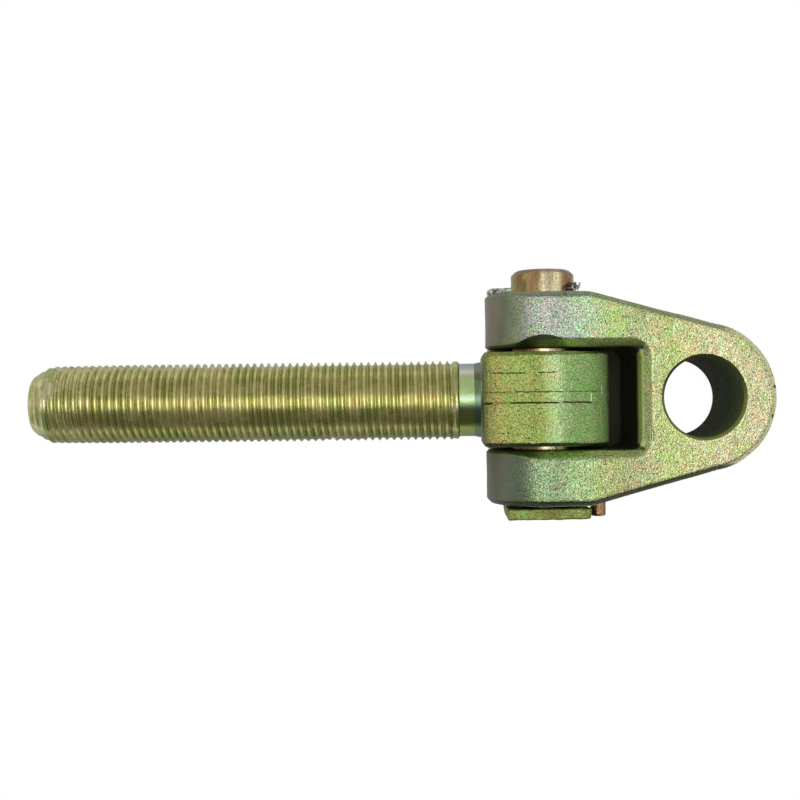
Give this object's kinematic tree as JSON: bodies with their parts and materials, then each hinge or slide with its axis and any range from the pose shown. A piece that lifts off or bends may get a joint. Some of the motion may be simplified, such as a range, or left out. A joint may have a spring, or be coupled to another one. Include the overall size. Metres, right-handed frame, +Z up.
{
  "type": "clevis rod end",
  "caption": "Threaded rod end whose forged eye is pinned in a fork; the fork swings on a headed pin and ends in a tapered tongue with a cross bore for a hitch or coupling pin.",
  "frame": {"origin": "middle of the part's footprint on the surface it lies on, below the shank", "axes": "+X along the shank towards the fork, +Y along the hinge pin towards its split pin, +Z up from the surface the part lies on"},
  "size_m": [0.3066, 0.1024, 0.052],
  "materials": {
    "rod_end_steel": "forged and turned steel, zinc plated and yellow passivated",
    "fork_steel": "shot-blasted forging, zinc plated and yellow passivated",
    "hinge_pin_steel": "turned shank and forged head, zinc plated and yellow passivated",
    "split_pin_steel": "drawn wire, zinc plated, dull grey",
    "locking_dowel_steel": "turned, zinc plated and yellow passivated"
  },
  "bodies": {
    "rod": {"rod_end": "rod_end_steel"},
    "fork": {"fork": "fork_steel", "hinge_pin": "hinge_pin_steel", "split_pin": "split_pin_steel", "locking_dowel": "locking_dowel_steel"}
  },
  "joints": [
    {"name": "fork_hinge", "type": "hinge", "parent": "rod", "child": "fork", "pos_m": [0.06101, -0.00205, 0.026], "axis": [0, 1, 0], "range_deg": [-125.2, 114.8]}
  ]
}
